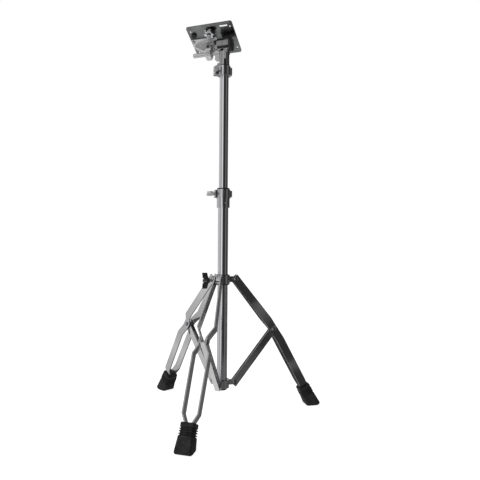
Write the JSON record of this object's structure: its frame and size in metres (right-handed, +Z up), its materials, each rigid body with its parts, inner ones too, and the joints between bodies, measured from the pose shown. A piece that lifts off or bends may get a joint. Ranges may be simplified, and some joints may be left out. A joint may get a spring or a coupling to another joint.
{
  "type": "tripod stand",
  "caption": "Folding double-braced tripod stand with a telescoping post, locking clamps and a tilting head that carries a flat mounting plate.",
  "frame": {"origin": "on the ground, under the middle of the stand's bounding box; the post's axis is 56 mm along +Y from it", "axes": "+Z up along the post; -Y along the front leg"},
  "size_m": [0.4614, 0.4002, 0.9545],
  "materials": {
    "chrome": "polished chrome plate on steel",
    "zinc_steel": "bright plated steel",
    "plate_steel": "satin plated steel sheet",
    "black_plastic": "black nylon",
    "rubber": "matte black moulded rubber"
  },
  "bodies": {
    "base": {"lower_tube": "chrome", "tube_end_plug": "black_plastic", "lower_collar": "chrome", "collar_pin_a": "zinc_steel", "collar_pin_b": "zinc_steel", "collar_pin_c": "zinc_steel", "lower_clamp": "chrome", "lower_clamp_bushing": "black_plastic"},
    "brace_a": {"brace_a": "chrome"},
    "leg_a": {"leg_a_left": "chrome", "leg_a_right": "chrome", "waist_pin_a": "zinc_steel", "foot_a": "rubber"},
    "brace_b": {"brace_b": "chrome"},
    "leg_b": {"leg_b_left": "chrome", "leg_b_right": "chrome", "waist_pin_b": "zinc_steel", "foot_b": "rubber"},
    "brace_c": {"brace_c": "chrome"},
    "leg_c": {"leg_c_left": "chrome", "leg_c_right": "chrome", "waist_pin_c": "zinc_steel", "foot_c": "rubber"},
    "hub": {"hub": "chrome", "hub_bushing": "black_plastic", "hub_pin_a": "zinc_steel", "hub_pin_b": "zinc_steel", "hub_pin_c": "zinc_steel"},
    "hub_wing_bolt": {"hub_wing_bolt": "zinc_steel", "hub_wing_grip": "black_plastic"},
    "lower_wing_bolt": {"lower_wing_bolt": "zinc_steel"},
    "mid": {"mid_tube": "chrome", "upper_clamp": "chrome", "upper_clamp_bushing": "black_plastic", "upper_clamp_nut": "zinc_steel"},
    "upper_wing_bolt": {"upper_wing_bolt": "zinc_steel"},
    "top": {"top_tube": "chrome"},
    "tilter": {"tilter_base": "chrome", "tilter_bolt": "black_plastic", "tilter_nut": "zinc_steel"},
    "cradle": {"tilter_rotor": "chrome", "holder_rod": "chrome"},
    "rod_wing_nut": {"rod_wing_nut": "chrome"},
    "plate": {"holder_bracket": "chrome", "rod_clamp_block": "zinc_steel", "clamp_screw": "black_plastic", "module_plate": "plate_steel", "bracket_screw_1": "zinc_steel", "bracket_screw_2": "zinc_steel", "plate_stud": "zinc_steel", "plate_bumper": "rubber"},
    "knob": {"quick_release_knob": "chrome"}
  },
  "joints": [
    {"name": "brace_fold_a", "type": "hinge", "parent": "base", "child": "brace_a", "pos_m": [0.02815, 0.07225, 0.0705], "axis": [0.5, -0.866, 0], "range_deg": [-7, 26]},
    {"name": "leg_fold_a", "type": "hinge", "parent": "brace_a", "child": "leg_a", "pos_m": [0.11494, 0.12236, 0.19854], "axis": [-0.5, 0.866, 0], "range_deg": [-14, 52]},
    {"name": "brace_fold_b", "type": "hinge", "parent": "base", "child": "brace_b", "pos_m": [0, 0.0235, 0.0705], "axis": [-1, 0, 0], "range_deg": [-7, 26]},
    {"name": "leg_fold_b", "type": "hinge", "parent": "brace_b", "child": "leg_b", "pos_m": [0, -0.07672, 0.19854], "axis": [1, 0, 0], "range_deg": [-14, 52]},
    {"name": "brace_fold_c", "type": "hinge", "parent": "base", "child": "brace_c", "pos_m": [-0.02815, 0.07225, 0.0705], "axis": [0.5, 0.866, 0], "range_deg": [-7, 26]},
    {"name": "leg_fold_c", "type": "hinge", "parent": "brace_c", "child": "leg_c", "pos_m": [-0.11494, 0.12236, 0.19854], "axis": [-0.5, -0.866, 0], "range_deg": [-14, 52]},
    {"name": "hub_fold", "type": "hinge", "parent": "leg_a", "child": "hub", "pos_m": [0.02815, 0.07225, 0.32659], "axis": [0.5, -0.866, 0], "range_deg": [-7, 26]},
    {"name": "hub_lock_turn", "type": "hinge", "parent": "hub", "child": "hub_wing_bolt", "pos_m": [-0.02598, 0.041, 0.32359], "axis": [-0.866, -0.5, 0], "continuous": true},
    {"name": "lower_clamp_turn", "type": "hinge", "parent": "base", "child": "lower_wing_bolt", "pos_m": [-0.02598, 0.041, 0.538], "axis": [-0.866, -0.5, 0], "continuous": true},
    {"name": "mid_slide", "type": "slide", "parent": "base", "child": "mid", "axis": [0, 0, 1], "range_m": [-0.27, 0.065]},
    {"name": "upper_clamp_turn", "type": "hinge", "parent": "mid", "child": "upper_wing_bolt", "pos_m": [-0.01901, 0.04832, 0.841], "axis": [0.3746, -0.9272, 0], "continuous": true},
    {"name": "top_slide", "type": "slide", "parent": "mid", "child": "top", "axis": [0, 0, 1], "range_m": [0, 0.28]},
    {"name": "head_swivel", "type": "hinge", "parent": "top", "child": "tilter", "pos_m": [0, 0.056, 0.87], "axis": [0, 0, 1], "continuous": true},
    {"name": "head_tilt", "type": "hinge", "parent": "tilter", "child": "cradle", "pos_m": [0, 0.056, 0.9075], "axis": [0.9976, -0.0698, 0], "range_deg": [-8, 45]},
    {"name": "rod_lock_turn", "type": "hinge", "parent": "cradle", "child": "rod_wing_nut", "pos_m": [-0.02343, 0.0794, 0.89914], "axis": [0.9976, -0.0698, 0], "continuous": true},
    {"name": "plate_trim", "type": "hinge", "parent": "cradle", "child": "plate", "pos_m": [-0.04737, 0.08108, 0.89914], "axis": [0.9976, -0.0698, 0], "range_deg": [-12, 10]},
    {"name": "knob_turn", "type": "hinge", "parent": "plate", "child": "knob", "pos_m": [-0.03586, 0.04493, 0.93422], "axis": [0.0346, 0.4943, 0.8686], "continuous": true}
  ],
  "couplings": [
    {"joint": "brace_fold_b", "follows": "brace_fold_a", "ratio": 1},
    {"joint": "brace_fold_c", "follows": "brace_fold_a", "ratio": 1},
    {"joint": "leg_fold_a", "follows": "brace_fold_a", "ratio": 2},
    {"joint": "leg_fold_b", "follows": "brace_fold_a", "ratio": 2},
    {"joint": "leg_fold_c", "follows": "brace_fold_a", "ratio": 2},
    {"joint": "hub_fold", "follows": "brace_fold_a", "ratio": 1}
  ]
}
